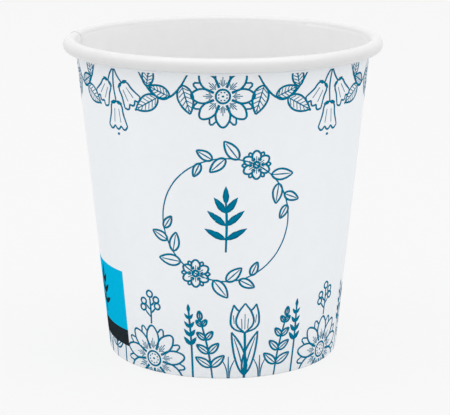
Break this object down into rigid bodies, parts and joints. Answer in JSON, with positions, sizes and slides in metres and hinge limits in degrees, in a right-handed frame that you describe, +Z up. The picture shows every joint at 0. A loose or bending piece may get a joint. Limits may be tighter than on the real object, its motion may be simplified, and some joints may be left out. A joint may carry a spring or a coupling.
{
  "type": "paper cup",
  "caption": "Short single-wall paper espresso cup: tapered printed board wall with rolled rim, lapped side seam and folded foot, closed by a recessed skirted bottom panel.",
  "frame": {"origin": "on the cup's axis, in the plane of the table that the folded foot stands on", "axes": "+Z up the cup's axis towards the rim; -Y towards the front of the print; the side seam lies a little behind -X"},
  "size_m": [0.062, 0.062, 0.0624],
  "materials": {
    "coated_board": "white clay-coated cup board, satin outside, thin clear plastic lining inside",
    "bottom_board": "uncoated white cup board below, thin clear plastic lining above",
    "printing_ink": "thin satin water-based ink on the board"
  },
  "bodies": {
    "root": {"side_wall": "coated_board", "bottom_panel": "bottom_board"}
  },
  "joints": []
}
